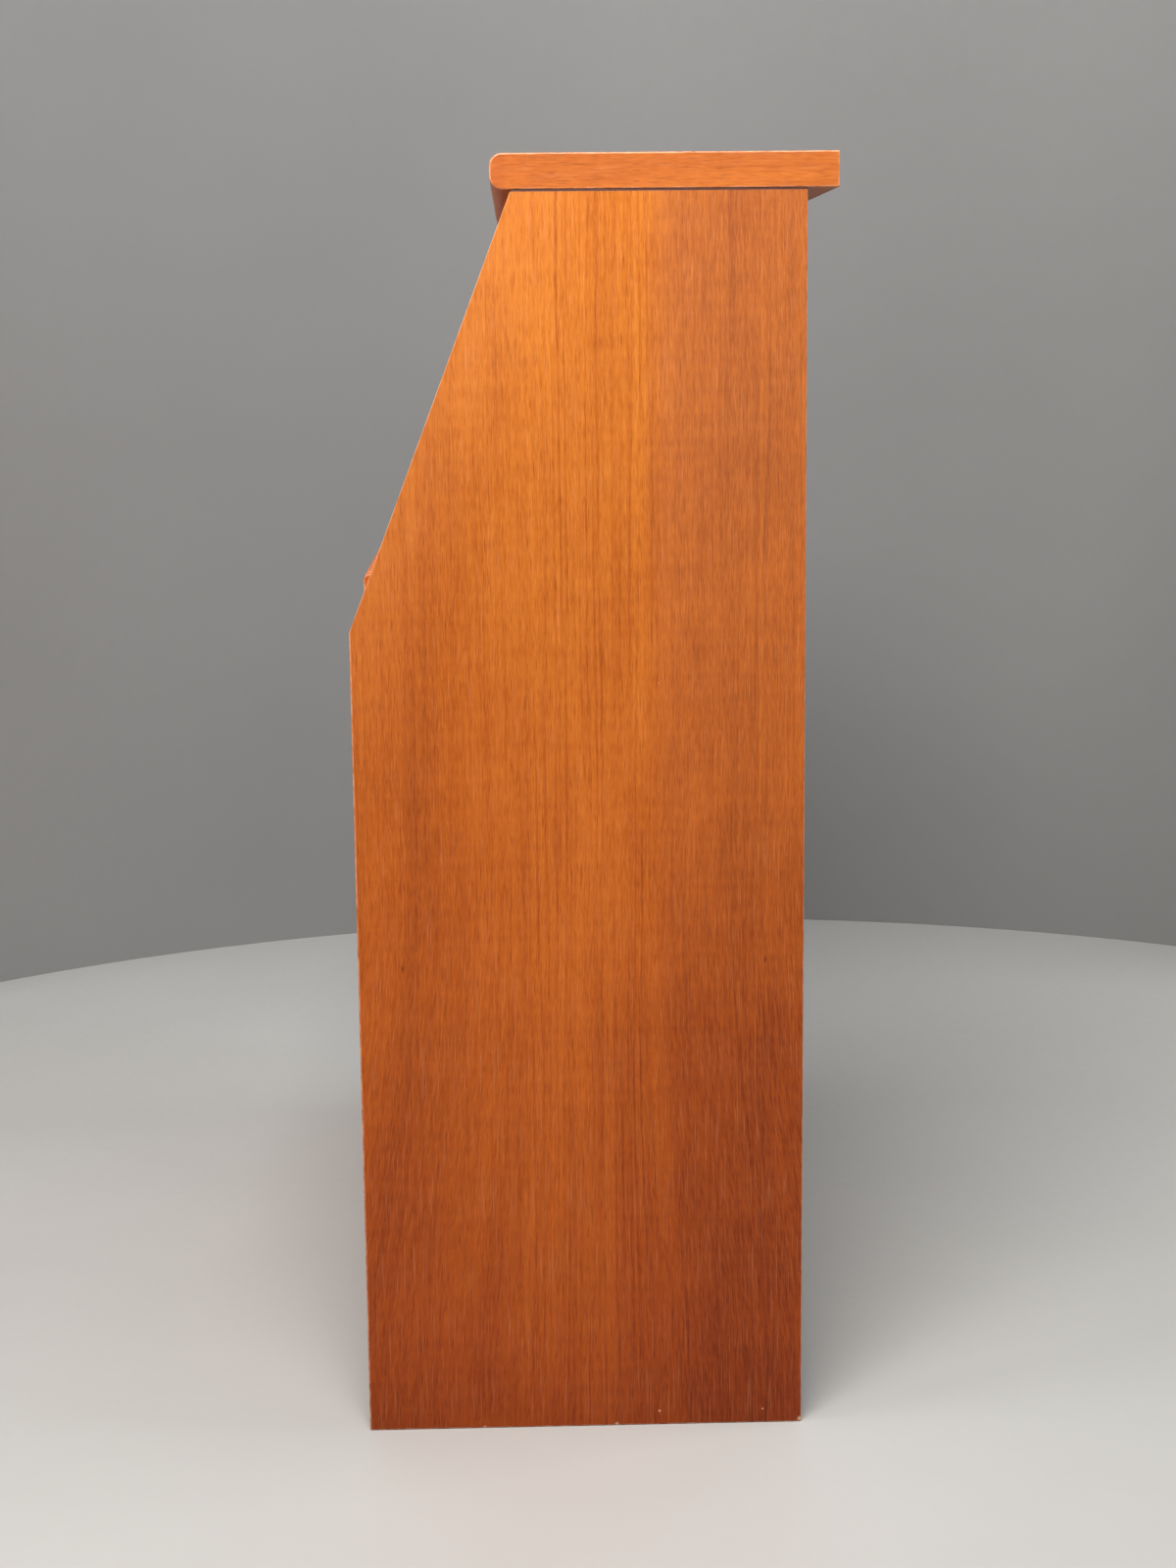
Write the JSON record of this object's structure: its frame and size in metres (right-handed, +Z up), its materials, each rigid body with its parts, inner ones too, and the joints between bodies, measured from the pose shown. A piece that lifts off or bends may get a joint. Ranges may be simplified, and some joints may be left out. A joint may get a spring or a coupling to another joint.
{
  "type": "secretary desk",
  "caption": "Narrow teak secretary desk with a slanted fall front over a fitted gallery, pull-out arms for the open flap, and long drawers with full-width finger lips.",
  "frame": {"origin": "middle of the footprint, on the floor", "axes": "+X towards the right-hand side panel as seen from the front, +Y towards the back, +Z up"},
  "size_m": [0.9, 0.394, 1.06],
  "materials": {
    "teak_veneer": "satin lacquered teak veneer",
    "teak_solid": "satin lacquered solid teak",
    "back_board": "stained plywood, dull",
    "beech": "waxed beech",
    "plywood": "smooth birch plywood",
    "brass": "satin brass",
    "steel": "satin steel"
  },
  "bodies": {
    "carcass": {"side_panel_left": "teak_veneer", "side_panel_right": "teak_veneer", "top_panel": "teak_veneer", "top_front_lipping": "teak_solid", "back_panel": "back_board", "bottom_panel": "teak_veneer", "plinth_rail": "teak_solid", "writing_deck": "teak_veneer", "front_rail": "teak_solid", "loper_bearer_left": "beech", "loper_bearer_right": "beech", "runner_middle_left": "beech", "runner_middle_right": "beech", "runner_top_left": "beech", "runner_top_right": "beech", "strike_plate": "brass", "hinge_left_deck_leaf": "brass", "hinge_left_pin": "steel", "hinge_right_deck_leaf": "brass", "hinge_right_pin": "steel", "gallery_divider_left": "teak_solid", "gallery_divider_right": "teak_solid", "gallery_shelf_left": "teak_veneer", "gallery_shelf_right": "teak_veneer", "gallery_shelf_centre": "teak_veneer"},
    "flap": {"fall_front": "teak_veneer", "hinge_left_flap_leaf": "brass", "hinge_right_flap_leaf": "brass", "lock_case": "brass", "escutcheon": "brass"},
    "bolt": {"lock_bolt": "steel"},
    "loper_left": {"loper_left": "teak_solid"},
    "loper_right": {"loper_right": "teak_solid"},
    "drawer_bottom": {"drawer_bottom_front": "teak_veneer", "drawer_bottom_side_left": "beech", "drawer_bottom_side_right": "beech", "drawer_bottom_bottom": "plywood", "drawer_bottom_back": "beech"},
    "drawer_middle": {"drawer_middle_front": "teak_veneer", "drawer_middle_side_left": "beech", "drawer_middle_side_right": "beech", "drawer_middle_bottom": "plywood", "drawer_middle_back": "beech"},
    "drawer_top": {"drawer_top_front": "teak_veneer", "drawer_top_side_left": "beech", "drawer_top_side_right": "beech", "drawer_top_bottom": "plywood", "drawer_top_back": "beech"},
    "letter_drawer_left": {"letter_drawer_left_front": "teak_veneer", "letter_drawer_left_knob": "teak_solid", "letter_drawer_left_side_left": "beech", "letter_drawer_left_side_right": "beech", "letter_drawer_left_bottom": "plywood", "letter_drawer_left_back": "beech"},
    "letter_drawer_right": {"letter_drawer_right_front": "teak_veneer", "letter_drawer_right_knob": "teak_solid", "letter_drawer_right_side_left": "beech", "letter_drawer_right_side_right": "beech", "letter_drawer_right_bottom": "plywood", "letter_drawer_right_back": "beech"}
  },
  "joints": [
    {"name": "flap_hinge", "type": "hinge", "parent": "carcass", "child": "flap", "pos_m": [0, -0.15107, 0.75], "axis": [1, 0, 0], "range_deg": [0, 111.3]},
    {"name": "bolt_slide", "type": "slide", "parent": "flap", "child": "bolt", "axis": [0, 0.3633, 0.9317], "range_m": [0, 0.015]},
    {"name": "loper_left_slide", "type": "slide", "parent": "carcass", "child": "loper_left", "axis": [0, -1, 0], "range_m": [0, 0.21]},
    {"name": "loper_right_slide", "type": "slide", "parent": "carcass", "child": "loper_right", "axis": [0, -1, 0], "range_m": [0, 0.21]},
    {"name": "drawer_bottom_slide", "type": "slide", "parent": "carcass", "child": "drawer_bottom", "axis": [0, -1, 0], "range_m": [0, 0.23]},
    {"name": "drawer_middle_slide", "type": "slide", "parent": "carcass", "child": "drawer_middle", "axis": [0, -1, 0], "range_m": [0, 0.23]},
    {"name": "drawer_top_slide", "type": "slide", "parent": "carcass", "child": "drawer_top", "axis": [0, -1, 0], "range_m": [0, 0.23]},
    {"name": "letter_drawer_left_slide", "type": "slide", "parent": "carcass", "child": "letter_drawer_left", "axis": [0, -1, 0], "range_m": [0, 0.11]},
    {"name": "letter_drawer_right_slide", "type": "slide", "parent": "carcass", "child": "letter_drawer_right", "axis": [0, -1, 0], "range_m": [0, 0.11]}
  ]
}
